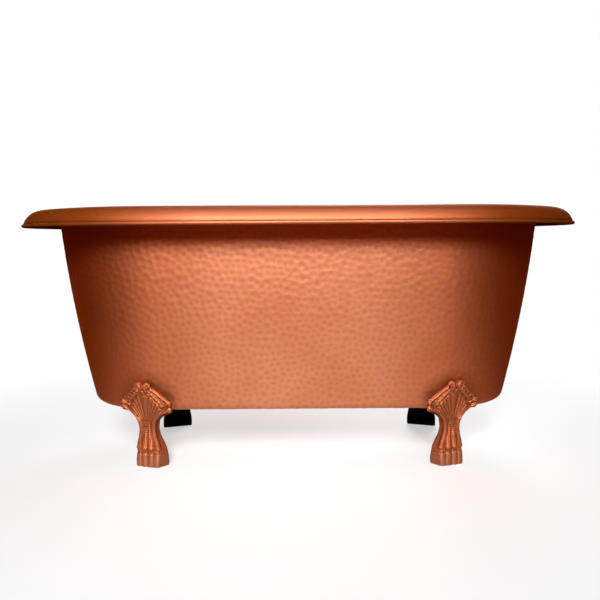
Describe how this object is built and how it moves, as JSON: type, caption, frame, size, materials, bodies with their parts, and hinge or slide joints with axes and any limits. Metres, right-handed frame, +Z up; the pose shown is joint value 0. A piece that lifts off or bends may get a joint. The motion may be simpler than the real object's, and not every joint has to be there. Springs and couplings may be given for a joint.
{
  "type": "roll top bathtub",
  "caption": "Free-standing double-ended copper bathtub with hammered walls, a smooth rolled rim, cast claw feet and a lift-up stopper in a central waste.",
  "frame": {"origin": "on the floor, under the middle of the bath", "axes": "+X along the bath's length, to the right as seen from the front; +Y to the rear; +Z up"},
  "size_m": [1.5, 0.8, 0.652],
  "materials": {
    "hammered_copper": "hand hammered",
    "rolled_copper": "polished",
    "cast_copper": "cast, copper plated",
    "waste_copper": "polished",
    "fixing_steel": "zinc plated",
    "rubber": "matt",
    "slip_plastic": "matt"
  },
  "bodies": {
    "tub": {"wall_front": "hammered_copper", "wall_rear": "hammered_copper", "floor_pan": "hammered_copper", "rim_front": "rolled_copper", "rim_rear": "rolled_copper", "foot_front_left": "cast_copper", "foot_front_right": "cast_copper", "foot_rear_left": "cast_copper", "foot_rear_right": "cast_copper", "waste_body": "waste_copper", "waste_locknut": "waste_copper", "stopper_post": "waste_copper", "edge_wire": "fixing_steel", "foot_pad_front_left": "fixing_steel", "foot_pad_front_right": "fixing_steel", "foot_pad_rear_left": "fixing_steel", "foot_pad_rear_right": "fixing_steel", "foot_studs": "fixing_steel", "foot_washers": "fixing_steel", "foot_nuts": "fixing_steel", "waste_seal": "rubber", "waste_gasket": "rubber", "slip_washer": "slip_plastic"},
    "stopper": {"stopper_sleeve": "waste_copper", "stopper_cap": "waste_copper", "stopper_seal": "rubber"}
  },
  "joints": [
    {"name": "stopper_lift", "type": "slide", "parent": "tub", "child": "stopper", "axis": [0, 0, 1], "range_m": [0, 0.009]}
  ]
}
